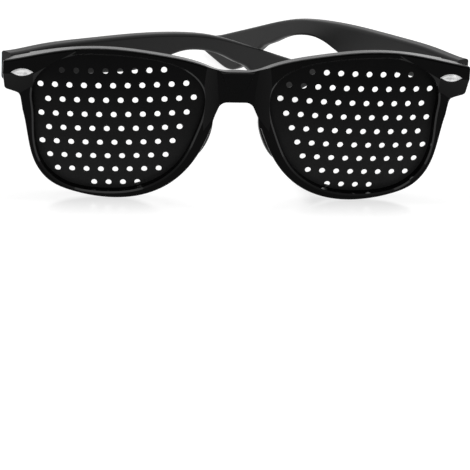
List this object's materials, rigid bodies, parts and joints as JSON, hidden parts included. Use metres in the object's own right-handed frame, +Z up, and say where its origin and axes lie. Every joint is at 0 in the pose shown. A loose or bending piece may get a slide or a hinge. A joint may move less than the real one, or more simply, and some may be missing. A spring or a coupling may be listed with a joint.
{
  "type": "pinhole glasses",
  "caption": "Black pinhole glasses with a curved front, opaque sheets drilled with rows of small holes in place of lenses, metal studs and folding temples.",
  "frame": {"origin": "bottom centre of the bounding box, on the table that the rims and a temple tip rest on", "axes": "+X towards the wearer's left temple, +Y back towards the wearer's ears, +Z up from the table"},
  "size_m": [0.1459, 0.1346, 0.0499],
  "materials": {
    "front_frame": "polished",
    "pinhole_lens": "satin",
    "stud": "polished",
    "hinge": "satin",
    "screw": "satin",
    "temple": "polished"
  },
  "bodies": {
    "front": {"front_frame": "front_frame", "left_pinhole_lens": "pinhole_lens", "right_pinhole_lens": "pinhole_lens", "left_stud": "stud", "right_stud": "stud", "left_front_hinge": "hinge", "right_front_hinge": "hinge", "left_hinge_screw": "screw", "right_hinge_screw": "screw"},
    "right_arm": {"right_temple": "temple", "right_temple_hinge": "hinge"},
    "left_arm": {"left_temple": "temple", "left_temple_hinge": "hinge"}
  },
  "joints": [
    {"name": "right_fold", "type": "hinge", "parent": "front", "child": "right_arm", "pos_m": [-0.0678, -0.05594, 0.03975], "axis": [0, 0.0442, 0.999], "range_deg": [-38.2, 49.8]},
    {"name": "left_fold", "type": "hinge", "parent": "front", "child": "left_arm", "pos_m": [0.0678, -0.05594, 0.03975], "axis": [0, -0.0442, -0.999], "range_deg": [-58.6, 29.41]}
  ],
  "couplings": [
    {"joint": "left_fold", "follows": "right_fold", "ratio": 0.5904}
  ]
}
